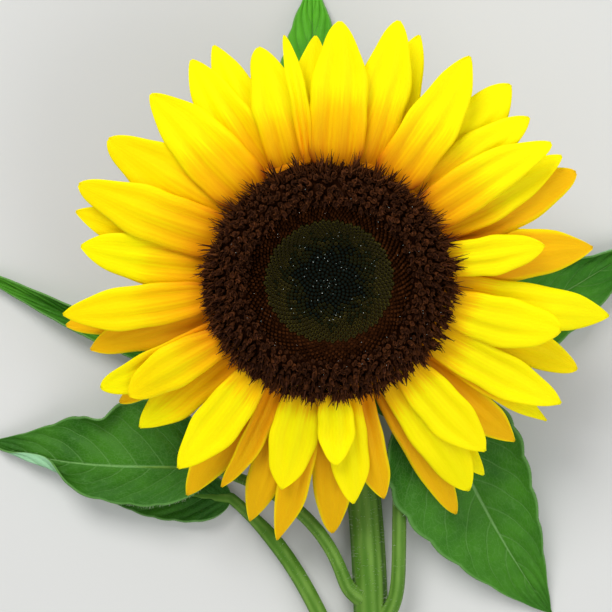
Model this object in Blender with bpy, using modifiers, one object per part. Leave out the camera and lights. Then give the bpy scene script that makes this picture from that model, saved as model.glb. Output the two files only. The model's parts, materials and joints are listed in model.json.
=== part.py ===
"""A cut sunflower lying on its back: one open bloom on a bent neck, a short length
of stem and six leaves.

Metres, +Z up. The bloom's face looks up and leans towards the stem, which runs
along -Y on the ground. The origin is on the ground, at the middle of the footprint.
"""

import math

import bmesh
import bpy
from mathutils import Matrix, Vector

MM = 0.001
GAP = 0.3 * MM                     # clearance between neighbouring solids

# The bloom, in the face's own frame: X at 3 o'clock, Y at 12 o'clock, Z out of the
# face, origin where the ray florets' plane meets the bloom's axis.
FACE_HEIGHT = 58 * MM
FACE_LEAN = math.radians(19)

RIM_RADIUS = 34 * MM
RIM_TOP = 3.5 * MM
RIM_FOOT = -6 * MM
BACK_DEPTH = 22 * MM
BACK_RADIUS = 7.5 * MM
DISC_RADIUS = 36.2 * MM
DISC_CROWN = 9.5 * MM              # top of the raised ring of open florets
BUD_RADIUS = 18.4 * MM             # the ring's inside, full of closed buds
BUD_TOP = 5.6 * MM
TURN_STEPS = 36

BRACT_THICKNESS = 1.0 * MM
BRACT_WIDTH = 9 * MM
BRACTS_A_ROW = 18
BRACT_ROWS = ((32.2 * MM, -5.0 * MM, 21 * MM, 4 * MM),      # root radius, root height,
              (29.8 * MM, -8.8 * MM, 22 * MM, 7 * MM))      # length, droop at the tip

# Ray florets, from the front row to the back row: clock angle in degrees, reach of
# the tip from the bloom's axis and greatest width in millimetres.
RAY_THICKNESS = 0.7 * MM
RAY_ROOT = RIM_RADIUS + GAP
RAY_ROOT_SHARES = (0.58, 0.75, 0.95, 0.97)   # of the greatest width, by row
RAY_CAMBER = 0.35 * MM
RAY_BLUNTNESS = 2.3
CROWD_BLUNTNESS = 1.9              # where the ray florets crowd each other
CROWD_WIDENING = 0.3
CROWD_ROOT_SHARE = 0.35
CROWD_RISE = (-0.3, 0.45)          # cosines of the clock angles where crowding starts
                                   # and where it is full
ROW_TOP = 2.4 * MM
ROW_PITCH = 1.7 * MM
RAY_LIFT = 2.5 * MM
RAY_DROOP = 4.0 * MM
ROW_EXTRA_DROOP = 1.3 * MM
RAY_REFERENCE = 40 * MM            # length over which lift and droop are stated
RAY_ROWS = (
    ((3, 73, 13), (32, 74, 12), (57, 73, 11), (81, 62, 10), (104, 69, 15),
     (140, 72, 14), (178, 58, 11), (216, 74, 14), (238, 69, 13), (261, 77, 13),
     (291, 75, 13), (318, 72, 14), (350, 70, 5)),
    ((15, 75, 12), (50, 72, 11), (121, 80, 13), (148, 82, 14), (173, 73, 12),
     (191, 69, 14), (241, 76, 12), (276, 71, 14), (303, 73, 15), (344, 68, 12)),
    ((44, 74, 14), (63, 74, 11), (100, 84, 14), (126, 81, 8), (144, 81, 9),
     (167, 75, 10), (189, 90, 10), (204, 76, 7), (228, 75, 13), (251, 74, 12),
     (283, 74, 11), (328, 72, 12), (356, 68, 10)),
    ((21, 72, 11), (68, 76, 13), (86, 77, 14), (113, 81, 12), (134, 80, 12),
     (153, 90, 10), (178, 88, 12), (196, 87, 11), (210, 86, 12), (235, 75, 8),
     (256, 79, 11), (334, 72, 11)),
)

# The stem, from its joint under the bloom to its cut end
NECK_RADIUS = 6.8 * MM
STEM_RADIUS = 5.2 * MM             # past the neck
CUT_RADIUS = 5.9 * MM
NECK_TAPER = 14 * MM
NECK_STRAIGHT = 2 * MM             # straight stretch before the bend
STEM_LENGTH = 232 * MM
STEM_SWAY = 16 * MM                # how far it wanders to +X
SWAY_LENGTH = 80 * MM
STEM_POINTS = 40

LEAF_THICKNESS = 1.2 * MM
PETIOLE_FOOT = 3.0 * MM
PETIOLE_COLLAR = 2.6 * MM          # how far it goes straight out before it turns
PETIOLE_END = 1.2 * MM
PETIOLE_POINTS = 10
MIDRIB_POINTS = 4                  # points that carry it on inside the blade
MIDRIB_REACH = 0.28                # share of the blade that they run along

# Leaves, with the middle of the bloom at X = Y = 0: place along the stem, side of the
# stem that the petiole leaves, its radius and two handles; the blade's base, two
# handles and tip; the widths of its right and left halves, seen from above with the
# tip ahead, and the slope of each half up from the midrib. Lengths in millimetres.
LEAVES = {
    "leaf_lower_right": dict(
        at=141, side=(0.85, 0.0, 0.5), radius=2.2,
        petiole=((25, -104, 11), (18, -18, 20)),
        blade=((31, -36, 21), (40, -53, 20), (54, -84, 7), (72, -107, 1)),
        halves=(24, 20), fold=0.12),
    "leaf_lower_left": dict(
        at=133, side=(-1.0, 0.0, 0.45), radius=2.1,
        petiole=((8, -96, 11), (0, -66, 13)),
        blade=((-35, -60, 13), (-56, -58, 16), (-82, -62, 9), (-107, -52, 2)),
        halves=(20, 11), fold=-0.12),
    "leaf_left": dict(
        at=157, side=(-1.0, 0.0, 0.3), radius=2.6,
        petiole=((3, -119, 8), (-8, -84, 5)),
        blade=((-30, -70, 4), (-45, -69, 4), (-65, -67, 2.5), (-84, -62, 1)),
        halves=(9, 9), fold=0.06),
    "leaf_upper_left": dict(
        at=52, side=(-1.0, 0.0, 0.3), radius=1.9,
        petiole=((-10, -24, 8), (-26, -36, 8)),
        blade=((-42, -30, 6), (-65, -20, 5), (-95, -5, 4), (-121, 7, 1)),
        halves=(6, 6), fold=1.2),
    "leaf_top": dict(
        at=20, side=(0.0, 1.0, -0.3), radius=1.9,
        petiole=((0, 20, 14), (-2, 26, 7)),
        blade=((-3, 32, 6), (-3, 50, 6), (-5, 75, 5), (-4, 95, 1)),
        halves=(13, 13), fold=0.25),
    "leaf_right": dict(
        at=58, side=(1.0, 0.0, 0.3), radius=1.9,
        petiole=((20, -29, 9), (30, -29, 8)),
        blade=((40, -22, 7), (60, -15, 8), (86, 2, 6), (105, 13, 1)),
        halves=(13, 12), fold=0.15),
}


def clear_scene():
    for obj in list(bpy.data.objects):
        bpy.data.objects.remove(obj, do_unlink=True)


def material(name, colour, roughness):
    made = bpy.data.materials.new(name)
    made.use_nodes = True
    shader = made.node_tree.nodes["Principled BSDF"]
    shader.inputs["Base Color"].default_value = (*colour, 1)
    shader.inputs["Roughness"].default_value = roughness
    shader.inputs["Metallic"].default_value = 0
    return made


def add_object(name, data, finish=None, parent=None):
    obj = bpy.data.objects.new(name, data)
    plant.objects.link(obj)
    obj.parent = parent
    if finish:
        data.materials.append(finish)
    return obj


def as_mesh_object(obj):
    """The object as a plain mesh in world space, with its caps welded."""
    bpy.context.view_layer.update()
    evaluated = obj.evaluated_get(bpy.context.evaluated_depsgraph_get())
    mesh = bpy.data.meshes.new_from_object(evaluated)
    mesh.transform(obj.matrix_world)
    bm = bmesh.new()
    bm.from_mesh(mesh)
    bmesh.ops.remove_doubles(bm, verts=bm.verts, dist=0.001 * MM)
    bmesh.ops.recalc_face_normals(bm, faces=bm.faces)
    bm.to_mesh(mesh)
    bm.free()
    name = obj.name
    bpy.data.objects.remove(obj, do_unlink=True)
    return add_object(name, mesh)


def fuse(name, body, pieces, finish, parent):
    """One solid from a body and the pieces sunk into it."""
    body = as_mesh_object(body)
    added = bpy.data.collections.new(name + "_pieces")
    bpy.context.scene.collection.children.link(added)
    for piece in pieces:
        piece = as_mesh_object(piece)
        plant.objects.unlink(piece)
        added.objects.link(piece)
    union = body.modifiers.new("union", "BOOLEAN")
    union.operation = "UNION"
    union.operand_type = "COLLECTION"
    union.collection = added
    union.solver = "EXACT"
    fused = as_mesh_object(body)
    for piece in list(added.objects):
        bpy.data.objects.remove(piece, do_unlink=True)
    bpy.data.collections.remove(added)
    fused.name = name
    fused.data.materials.clear()
    fused.data.materials.append(finish)
    fused.parent = parent
    fused.matrix_parent_inverse = parent.matrix_world.inverted()
    return fused


def turned(name, profile, finish=None, parent=None):
    """A profile of (radius, height) pairs, down its outer side, turned about Z."""
    mesh = bpy.data.meshes.new(name)
    points = [(radius, 0, height) for radius, height in profile]
    edges = [(i, i + 1) for i in range(len(points) - 1)]
    if profile[0][0] > 0:
        edges.append((len(points) - 1, 0))
    mesh.from_pydata(points, edges, [])
    obj = add_object(name, mesh, finish, parent)
    screw = obj.modifiers.new("turn", "SCREW")
    screw.steps = TURN_STEPS
    screw.render_steps = TURN_STEPS
    screw.use_merge_vertices = True
    screw.merge_threshold = 0.01 * MM
    return obj


def blade(name, rows, columns, place, thickness, finish=None, parent=None):
    """A thin sheet: place(along, across) gives its points, along in 0..1 and across
    in -1..1."""
    bm = bmesh.new()
    bmesh.ops.create_grid(bm, x_segments=rows, y_segments=columns, size=1)
    for vertex in bm.verts:
        vertex.co = place((vertex.co.x + 1) / 2, vertex.co.y)
    mesh = bpy.data.meshes.new(name)
    bm.to_mesh(mesh)
    bm.free()
    obj = add_object(name, mesh, finish, parent)
    shell = obj.modifiers.new("thickness", "SOLIDIFY")
    shell.thickness = thickness
    shell.offset = 0
    shell.use_even_offset = True
    return obj


def tube(name, points, radii, resolution, finish=None, parent=None):
    """A round limb through points, with its own radius at each."""
    curve = bpy.data.curves.new(name, "CURVE")
    curve.dimensions = "3D"
    curve.bevel_depth = 1
    curve.bevel_resolution = resolution
    curve.use_fill_caps = True
    spline = curve.splines.new("POLY")
    spline.points.add(len(points) - 1)
    for slot, point, radius in zip(spline.points, points, radii):
        slot.co = (*point, 1)
        slot.radius = radius
    return add_object(name, curve, finish, parent)


def bezier(ends, t):
    a, b, c, d = ends
    s = 1 - t
    return a * s**3 + b * 3 * s * s * t + c * 3 * s * t * t + d * t**3


def millimetres(points):
    return [Vector(point) * MM for point in points]


# ---- the bloom --------------------------------------------------------------------

def make_receptacle():
    """The bloom's green back, with two rows of pointed bracts fused on."""
    core = turned("receptacle_core", (
        (0, RIM_TOP), (RIM_RADIUS, RIM_TOP), (RIM_RADIUS, RIM_FOOT),
        (0.93 * RIM_RADIUS, -9.5 * MM), (0.78 * RIM_RADIUS, -13 * MM),
        (0.52 * RIM_RADIUS, -17 * MM), (0.3 * RIM_RADIUS, -20.5 * MM),
        (BACK_RADIUS, -BACK_DEPTH), (0, -BACK_DEPTH)), parent=head)
    bracts = []
    for row, (root, height, length, droop) in enumerate(BRACT_ROWS):
        for i in range(BRACTS_A_ROW):
            turn = 2 * math.pi * (i + row / 2) / BRACTS_A_ROW

            def place(along, across):
                outline = math.cos(math.pi / 2 * along**1.6)**0.8
                half = BRACT_WIDTH / 2 * max(outline, 0.1)
                return Vector((across * half, root + along * length,
                               height - droop * along * along))

            bract = blade(f"bract_{row}_{i}", 5, 2, place, BRACT_THICKNESS, parent=head)
            bract.rotation_euler.z = -turn
            bracts.append(bract)
    fuse("receptacle", core, bracts, BRACT_GREEN, head)


def make_disc():
    """The raised ring of open florets and the sunk middle of closed buds."""
    foot = RIM_TOP + GAP
    inner = BUD_RADIUS + GAP
    turned("disc_ring", (
        (inner, 6.2 * MM), (22 * MM, 8.2 * MM), (27 * MM, DISC_CROWN),
        (32 * MM, 9.2 * MM), (DISC_RADIUS - 1.2 * MM, 7.6 * MM),
        (DISC_RADIUS, 5.6 * MM), (DISC_RADIUS - 0.5 * MM, foot), (inner, foot)),
        DISC_BROWN, head)
    turned("disc_centre", (
        (0, BUD_TOP - 1.2 * MM), (BUD_RADIUS / 2, BUD_TOP - 0.7 * MM),
        (BUD_RADIUS, BUD_TOP), (BUD_RADIUS, foot), (0, foot)),
        BUD_GREEN, head)


def ray_height(row, radius):
    """Height of a row's ray florets above the face's plane."""
    x = (radius - RAY_ROOT) / RAY_REFERENCE
    droop = RAY_DROOP + ROW_EXTRA_DROOP * row
    return (ROW_TOP - ROW_PITCH * row + RAY_LIFT * x
            - droop * 1.6 * x * x / (1 + 0.6 * x))


def crowding(clock):
    """1 among the ray florets at the top of the bloom and 0 among the lowest ones."""
    low, high = CROWD_RISE
    share = min(1, max(0, (math.cos(math.radians(clock)) - low) / (high - low)))
    return share * share * (3 - 2 * share)


def ray_outline(along, crowd, root_share):
    """Share of its width that a ray floret has, from its root to its blunt tip."""
    if along < 0.5:
        return root_share + (1 - root_share) * math.sin(math.pi * along)
    bluntness = RAY_BLUNTNESS + (CROWD_BLUNTNESS - RAY_BLUNTNESS) * crowd
    return max(0.1, (1 - (2 * along - 1)**bluntness)**0.68)


def half_room(clock, rays, side):
    """Half the angle between a ray floret and the next one of its row on a side."""
    turns = [(side * (other - clock)) % 360 for other, reach, width in rays
             if other != clock]
    return math.radians(min(min(turns), 90) / 2)


def make_rays():
    number = 0
    for row, rays in enumerate(RAY_ROWS):
        for clock, reach, width in rays:
            number += 1
            length = reach * MM - RAY_ROOT
            crowd = crowding(clock)
            half = width * MM / 2 * (1 + CROWD_WIDENING * crowd)
            root_share = min(0.97, RAY_ROOT_SHARES[row] + CROWD_ROOT_SHARE * crowd)
            rooms = {side: half_room(clock, rays, side) for side in (-1, 1)}

            def place(along, across):
                radius = RAY_ROOT + along * length
                sideways = abs(across) * half * ray_outline(along, crowd, root_share)
                if across:
                    room = rooms[1 if across > 0 else -1]
                    sideways = min(sideways, radius * math.tan(room) - GAP / 2 - GAP / 4)
                sideways = math.copysign(sideways, across)
                return Vector((sideways, radius,
                               ray_height(row, radius) - RAY_CAMBER * across**2))

            ray = blade(f"ray_{number:02d}", 7, 2, place, RAY_THICKNESS,
                        RAY_YELLOW, head)
            ray.rotation_euler.z = -math.radians(clock)


# ---- the stem and its leaves ------------------------------------------------------

def stem_radius(run):
    flare = (NECK_RADIUS - STEM_RADIUS) * math.exp(-run / NECK_TAPER)
    return STEM_RADIUS + flare + (CUT_RADIUS - STEM_RADIUS) * run / STEM_LENGTH


def stem_point(run):
    """Point of the stem's axis at a distance along it from under the bloom: straight
    out of the bloom's back, round the bend, then along the ground."""
    if run <= NECK_STRAIGHT:
        return face_point(0, 0, -BACK_DEPTH - GAP - run)
    start = face_point(0, 0, -BACK_DEPTH - GAP - NECK_STRAIGHT)
    radius = (start.z - STEM_RADIUS) / (1 + math.sin(FACE_LEAN))
    bend = (math.pi / 2 + FACE_LEAN) * radius
    centre_y = start.y - radius * math.cos(FACE_LEAN)
    centre_z = start.z - radius * math.sin(FACE_LEAN)
    bent = run - NECK_STRAIGHT
    sway = STEM_SWAY * (1 - math.exp(-(bent / SWAY_LENGTH)**1.6))
    if bent < bend:
        angle = FACE_LEAN - bent / radius
        return Vector((sway, centre_y + radius * math.cos(angle),
                       centre_z + radius * math.sin(angle)))
    lying = centre_z - radius + stem_radius(run) - stem_radius(bend)
    return Vector((sway, centre_y - (bent - bend), lying))


def stem_tangent(run):
    step = 0.5 * MM
    return (stem_point(run + step) - stem_point(run - step)).normalized()


def make_stem():
    step = (STEM_LENGTH - NECK_STRAIGHT) / STEM_POINTS
    runs = [0] + [NECK_STRAIGHT + step * i for i in range(STEM_POINTS + 1)]
    tube("stem", [stem_point(run) for run in runs], [stem_radius(run) for run in runs],
         4, STEM_GREEN, ground)


def leaf_outline(along):
    """Share of its width that a leaf has, from its broad base to its point."""
    return max(0.07, math.sin(math.pi * min(along, 0.999)**0.62)**0.9)


def make_leaf(name, at, side, radius, petiole, blade_ends, halves, fold):
    """A petiole that leaves the stem at its side and runs on into the blade."""
    ends = millimetres(blade_ends)
    right, left = (half * MM for half in halves)

    def place(along, across):
        middle = bezier(ends, along)
        step = 0.02
        ahead = bezier(ends, min(1, along + step)) - bezier(ends, max(0, along - step))
        sideways = ahead.cross(Vector((0, 0, 1))).normalized()
        half = (right if across > 0 else left) * leaf_outline(along)
        rise = fold * half * abs(across)
        return middle + sideways * across * half + Vector((0, 0, rise))

    sheet = blade(name + "_blade", 10, 4, place, LEAF_THICKNESS)
    tangent = stem_tangent(at * MM)
    out = Vector(side)
    out = (out - tangent * out.dot(tangent)).normalized()
    foot = stem_point(at * MM) + out * (stem_radius(at * MM) + 1.2 * GAP)
    route = [foot + out * PETIOLE_COLLAR, *millimetres(petiole), ends[0]]
    points = [foot]
    radii = [PETIOLE_FOOT]
    for i in range(PETIOLE_POINTS + 1):
        points.append(bezier(route, i / PETIOLE_POINTS))
        swelling = (PETIOLE_FOOT - radius * MM) * math.exp(-i / 1.5)
        radii.append(radius * MM + swelling)
    for i in range(1, MIDRIB_POINTS + 1):
        share = i / MIDRIB_POINTS
        points.append(bezier(ends, MIDRIB_REACH * share))
        radii.append(radius * MM + (PETIOLE_END - radius * MM) * share)
    stalk = tube(name + "_stalk", points, radii, 2)
    fuse(name, stalk, [sheet], LEAF_GREEN, ground)


# ---- placing ----------------------------------------------------------------------

def face_point(x, y, z):
    """A point of the face's frame, with the bloom's middle over X = Y = 0."""
    lean = Matrix.Rotation(FACE_LEAN, 4, "X")
    return lean @ Vector((x, y, z)) + Vector((0, 0, FACE_HEIGHT))


def add_empty(name, parent=None):
    empty = bpy.data.objects.new(name, None)
    plant.objects.link(empty)
    empty.parent = parent
    return empty


def centre_on_ground():
    """Moves the whole plant so that its footprint's middle is the origin."""
    bpy.context.view_layer.update()
    graph = bpy.context.evaluated_depsgraph_get()
    points = []
    for obj in plant.objects:
        if obj.type in {"MESH", "CURVE"}:
            shape = obj.evaluated_get(graph)
            points += [shape.matrix_world @ v.co for v in shape.to_mesh().vertices]
            shape.to_mesh_clear()
    lows = [min(point[axis] for point in points) for axis in range(3)]
    highs = [max(point[axis] for point in points) for axis in range(3)]
    ground.location = (-(lows[0] + highs[0]) / 2, -(lows[1] + highs[1]) / 2, -lows[2])


clear_scene()
plant = bpy.data.collections.new("sunflower")
bpy.context.scene.collection.children.link(plant)

RAY_YELLOW = material("ray_yellow", (0.95, 0.62, 0.0), 0.55)
DISC_BROWN = material("disc_brown", (0.03, 0.012, 0.006), 0.8)
BUD_GREEN = material("bud_green", (0.03, 0.05, 0.02), 0.7)
BRACT_GREEN = material("bract_green", (0.07, 0.2, 0.04), 0.65)
STEM_GREEN = material("stem_green", (0.18, 0.36, 0.1), 0.6)
LEAF_GREEN = material("leaf_green", (0.06, 0.25, 0.04), 0.55)

ground = add_empty("ground")
head = add_empty("head", ground)
head.location = (0, 0, FACE_HEIGHT)
head.rotation_euler = (FACE_LEAN, 0, 0)
bpy.context.view_layer.update()

make_receptacle()
make_disc()
make_rays()
make_stem()
for leaf_name, leaf in LEAVES.items():
    make_leaf(leaf_name, leaf["at"], leaf["side"], leaf["radius"], leaf["petiole"],
              leaf["blade"], leaf["halves"], leaf["fold"])
centre_on_ground()
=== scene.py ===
"""Dresses the frame of a cut sunflower that lies on its back: ray florets, a disc of
open florets and closed buds, bracts, a ridged and bristly stem, and veined leaves.

Lengths are metres. The bloom has a frame of its own, with X at 3 o'clock, Y at
12 o'clock and Z out of the face; everything else is placed on the ground under it.
"""

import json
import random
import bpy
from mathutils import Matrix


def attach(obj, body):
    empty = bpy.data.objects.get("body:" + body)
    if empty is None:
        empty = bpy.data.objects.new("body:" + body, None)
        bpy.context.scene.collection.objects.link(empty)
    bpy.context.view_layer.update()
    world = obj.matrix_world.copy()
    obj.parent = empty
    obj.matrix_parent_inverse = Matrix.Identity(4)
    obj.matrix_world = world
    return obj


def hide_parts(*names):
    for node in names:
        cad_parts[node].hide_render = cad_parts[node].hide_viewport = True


bl_info = {
    "name": "Cut sunflower",
    "version": (1, 0, 0),
    "blender": (4, 5, 0),
    "location": "3D View > Sidebar > Sunflower",
    "description": "Ray florets, disc, bracts, stem and leaves of a cut sunflower",
    "category": "Object",
}

from math import atan, atan2, cos, degrees, exp, pi, radians, sin, sqrt, tau

import bmesh
import bpy
import numpy as np
from bpy.props import FloatProperty, FloatVectorProperty, IntProperty, PointerProperty
from mathutils import Matrix, Vector, noise

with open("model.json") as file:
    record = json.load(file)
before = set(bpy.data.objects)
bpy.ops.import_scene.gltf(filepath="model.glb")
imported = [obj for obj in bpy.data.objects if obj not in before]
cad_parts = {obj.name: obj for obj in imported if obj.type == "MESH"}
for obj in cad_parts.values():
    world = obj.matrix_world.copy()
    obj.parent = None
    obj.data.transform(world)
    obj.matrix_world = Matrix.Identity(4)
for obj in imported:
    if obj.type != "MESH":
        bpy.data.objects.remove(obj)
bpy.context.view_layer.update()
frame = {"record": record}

MM = 0.001
MERGE_DISTANCE = 0.005 * MM

# The bloom: its face's height and lean, its rim, and its green back with the radius and
# height of each point of the back's profile
FACE_HEIGHT = 58 * MM
FACE_LEAN = radians(19)
LEANING = Matrix.Rotation(FACE_LEAN, 3, "X")
RIM_RADIUS = 34 * MM
BACK_DEPTH = 22 * MM
BACK_PROFILE = (
    (0, 1.1 * MM), (33.4 * MM, 1.1 * MM), (RIM_RADIUS, 0), (RIM_RADIUS, -6 * MM),
    (0.93 * RIM_RADIUS, -9.5 * MM), (0.78 * RIM_RADIUS, -13 * MM),
    (0.52 * RIM_RADIUS, -17 * MM), (0.3 * RIM_RADIUS, -20.5 * MM),
    (7.4 * MM, -BACK_DEPTH - 0.2 * MM), (0, -BACK_DEPTH - 0.2 * MM))
TURNED_STEPS = 72

# The disc: its zones' outer radii, and the radius and height of each point of the
# brown bed's rim and of the orange ring under the claws. NOTCH_STEP is the angle in
# degrees between the dark notches that part the claws at the crown.
BUD_RADIUS = 18.4 * MM
YOUNG_RADIUS = 23.4 * MM
FLORET_RADIUS = 34.6 * MM
DISC_SHIFT = (0.3 * MM, -0.8 * MM)
BED_SINK = 0.4 * MM
BED_RIM = [(radius * MM, height * MM) for radius, height in (
    (33.3, 1.9), (33.6, 1.4), (33.6, 1.2), (0, 1.2))]
CLAW_RING = [(radius * MM, height * MM) for radius, height in (
    (0, -1.0), (31.0, -1.0), (33.1, 1.7), (34.8, 0.9), (35.6, -1.2), (35.4, -1.6),
    (0, -1.6))]
GOLDEN_ANGLE = pi * (3 - sqrt(5))
NOTCH_STEP = 11.5
DISC_SEED = 41

# Ray florets: their root's radius, the share of the width that each row has at its
# root, how blunt the tips are, and how all that changes for those that crowd at the
# crown, between the two cosines of the clock angle in CROWD_RISE. Those up to
# SLENDER_WIDTH millimetres wide stay as they are. CROWN_FROM is the cosine from which
# they have the crown's finish.
RAY_GRID = (44, 20)
RAY_SEED = 700
RAY_ROOT = RIM_RADIUS + 0.3 * MM
RAY_ROOT_SHARES = (0.58, 0.75, 0.95, 0.97)
RAY_BLUNTNESS = 2.3
CROWD_BLUNTNESS = 1.35
CROWD_WIDENING = 0.24
CROWD_ROOT_SHARE = 0.35
CROWD_RISE = (-0.3, 0.45)
CROWN_FROM = 0.45
CLAW_SHARE = 0.15
SLENDER_WIDTH = 6

# The arch of a row of ray florets, over RAY_REFERENCE of their length
ROW_TOP = 2.4 * MM
ROW_PITCH = 1.7 * MM
RAY_LIFT = 2.5 * MM
RAY_DROOP = 4.0 * MM
ROW_EXTRA_DROOP = 1.3 * MM
RAY_REFERENCE = 40 * MM

# Each ray floret, from the front row to the back row: clock angle in degrees, reach of
# the tip from the bloom's axis and greatest width in millimetres
RAY_ROWS = (
    ((3, 73, 13), (32, 74, 12), (57, 73, 11), (81, 62, 10), (104, 69, 15),
     (140, 72, 14), (178, 58, 11), (216, 74, 14), (238, 69, 13), (261, 77, 13),
     (291, 75, 13), (318, 72, 14), (350, 70, 5)),
    ((15, 75, 12), (50, 72, 11), (121, 80, 13), (148, 82, 14), (173, 73, 12),
     (191, 69, 14), (241, 76, 12), (276, 71, 14), (303, 73, 15), (344, 68, 12)),
    ((44, 74, 14), (63, 74, 11), (100, 84, 14), (126, 81, 8), (144, 81, 9),
     (167, 75, 10), (189, 90, 10), (204, 76, 7), (228, 75, 13), (251, 74, 12),
     (283, 74, 11), (328, 72, 12), (356, 68, 10)),
    ((21, 72, 11), (68, 76, 13), (86, 77, 14), (113, 81, 12), (134, 80, 12),
     (153, 90, 10), (178, 88, 12), (196, 87, 11), (210, 86, 12), (235, 75, 8),
     (256, 79, 11), (334, 72, 11)),
)

# Numbers, from 1, of the ray florets painted as catching the light in spite of their row,
# that are golden to the tip, that have the crown's deep orange and painted root shade
# without being part of it, and that are painted as lying in the others' shade
SUNLIT_RAYS = (16, 17, 18, 19, 26)
HONEY_RAYS = (9, 10, 11, 22, 34, 40)
WARM_RAYS = (21,)
SHADED_RAYS = (29, 30, 31, 33)
# Dark red-brown of the painted shadow along the flanks of each ray floret's root
FLANK_SHADOW_COLOUR = (0.28, 0.05, 0.003)

# Bracts: root radius, root height, length and droop of each row in millimetres, then
# its rise along the back and its share of the width. The last three rows lie on the
# back.
BRACTS_A_ROW = 18
BRACT_GRID = (14, 8)
BRACT_WIDTH = 9 * MM
BRACT_THICKNESS = 0.6 * MM
BRACT_SEED = 90
BRACT_ROWS = ((32.2, -5.0, 21, 4, 0, 1), (29.8, -8.8, 22, 7, 0, 1),
              (25.5, -12.6, 16, 3.5, 0.35, 0.9), (19.5, -16.3, 14, 1.5, 0.42, 0.75),
              (13.0, -19.2, 11, 0.5, 0.35, 0.6))

# The stem, from its joint under the bloom to its cut end
NECK_RADIUS = 6.8 * MM
STEM_RADIUS = 5.2 * MM
CUT_RADIUS = 5.9 * MM
NECK_TAPER = 14 * MM
NECK_STRAIGHT = 2 * MM
STEM_LENGTH = 232 * MM
STEM_SWAY = 16 * MM
SWAY_LENGTH = 80 * MM
STEM_GAP = 0.3 * MM
STEM_STEPS = 240
STEM_COLUMNS = 88

# Leaves: place along the stem, side that the petiole leaves, its radius and two
# handles; the blade's base, two handles and tip; the widths of its right and left
# halves; the slope of each half, and how its right and left margins curl: degrees
# everywhere, degrees more round one place, that place along the blade, its spread and,
# for a tight roll, where it begins and ends between midrib and margin.
# light scales the plain leaf green of its face: painted light above 1, painted shade below.
PETIOLE_FOOT = 3.0 * MM
PETIOLE_COLLAR = 2.6 * MM
PETIOLE_STEPS = 48
PETIOLE_EASING = 60
MIDRIB_STEPS = 36
PETIOLE_COLUMNS = 24
BLADE_GRID = (90, 40)
LEAF_SEED = 11.0
LEAVES = {
    "leaf_lower_right": dict(
        light=1.0,
        at=141, side=(0.85, 0.0, 0.5), radius=2.2,
        petiole=((25, -104, 11), (18, -18, 20)),
        blade=((31, -36, 21), (40, -53, 20), (54, -84, 7), (72, -107, 1)),
        halves=(24, 20), fold=0.12, curls=((10, 30, 0.15, 0.2), (20, 20, 0.5, 0.2))),
    "leaf_lower_left": dict(
        light=0.85,
        at=133, side=(-1.0, 0.0, 0.45), radius=2.1,
        petiole=((8, -96, 11), (0, -66, 13)),
        blade=((-35, -60, 13), (-56, -58, 16), (-82, -62, 9), (-107, -52, 2)),
        halves=(21, 12), fold=-0.12,
        curls=((25, 75, 0.53, 0.09), (25, 165, 0.8, 0.14, 0.25, 0.6))),
    "leaf_left": dict(
        light=0.8,
        at=157, side=(-1.0, 0.0, 0.3), radius=2.6,
        petiole=((3, -119, 8), (-8, -84, 5)),
        blade=((-30, -70, 4), (-45, -69, 4), (-65, -67, 2.5), (-84, -62, 1)),
        halves=(9, 9), fold=0.06, curls=((10, 20, 0.6, 0.2), (10, 40, 0.3, 0.2))),
    "leaf_upper_left": dict(
        light=1.3,
        at=52, side=(-1.0, 0.0, 0.3), radius=1.9,
        petiole=((-10, -24, 8), (-26, -36, 8)),
        blade=((-42, -30, 6), (-65, -20, 5), (-95, -5, 4), (-121, 7, 1)),
        halves=(6, 6), fold=1.2, curls=((20, 0, 0.5, 0.2), (10, 0, 0.5, 0.2))),
    "leaf_top": dict(
        light=2.2,
        at=20, side=(0.0, 1.0, -0.3), radius=1.9,
        petiole=((0, 20, 14), (-2, 26, 7)),
        blade=((-3, 32, 6), (-3, 50, 6), (-5, 75, 5), (-4, 95, 1)),
        halves=(13, 13), fold=0.25, curls=((10, 20, 0.7, 0.2), (10, 30, 0.3, 0.2))),
    "leaf_right": dict(
        light=1.4,
        at=58, side=(1.0, 0.0, 0.3), radius=1.9,
        petiole=((20, -29, 9), (30, -29, 8)),
        blade=((40, -22, 7), (60, -15, 8), (86, 2, 6), (105, 13, 1)),
        halves=(13, 12), fold=0.15, curls=((10, 60, 0.9, 0.2), (25, 90, 0.85, 0.25))),
}

# Bristles: their length and radius, how many stand on the bloom's back, on the margins
# of a bract, on the stem, on a petiole and on the margins of a leaf, and the seeds of
# where they stand and of how they lean
HAIR_SIZE = (1.3 * MM, 0.05 * MM)
LEAF_HAIR_SIZE = (0.9 * MM, 0.04 * MM)
BACK_HAIRS = 1400
BRACT_HAIRS = 40
STEM_HAIRS = 3000
PETIOLE_HAIRS = 420
LEAF_HAIRS = 260
HAIR_SEEDS = {"back": 77, "bract_hairs": 12, "stem": 5, "stem_hairs": 6, "leaf_hairs": 8}

# The stage: the floor's half width and its place under the ground, the lights' places
# from the bloom and sizes, the sky, and the camera's lens and place over the ground
FLOOR_SIZE = 3
FLOOR_GAP = 0.1 * MM
KEY_PLACE = Vector((-0.35, 0.65, 0.9))
KEY_SIZE = 0.6
FILL_PLACE = Vector((0.6, -0.5, 0.8))
FILL_SIZE = 0.9
SKY_COLOUR = (0.95, 0.97, 1.0, 1)
SKY_STRENGTH = 0.55
LENS_LENGTH = 100
SENSOR_WIDTH = 36
CAMERA_PLACE = (-6.3 * MM, -8.9 * MM)


# ---- placing ----------------------------------------------------------------------

def smooth(low, high, value):
    """0 below low, 1 above high and an even S between them."""
    share = min(1, max(0, (value - low) / (high - low)))
    return share * share * (3 - 2 * share)


def lean_point(x, y, z):
    """A point of the bloom's frame, over the ground under the bloom's middle."""
    return LEANING @ Vector((x, y, z)) + Vector((0, 0, FACE_HEIGHT))


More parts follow.
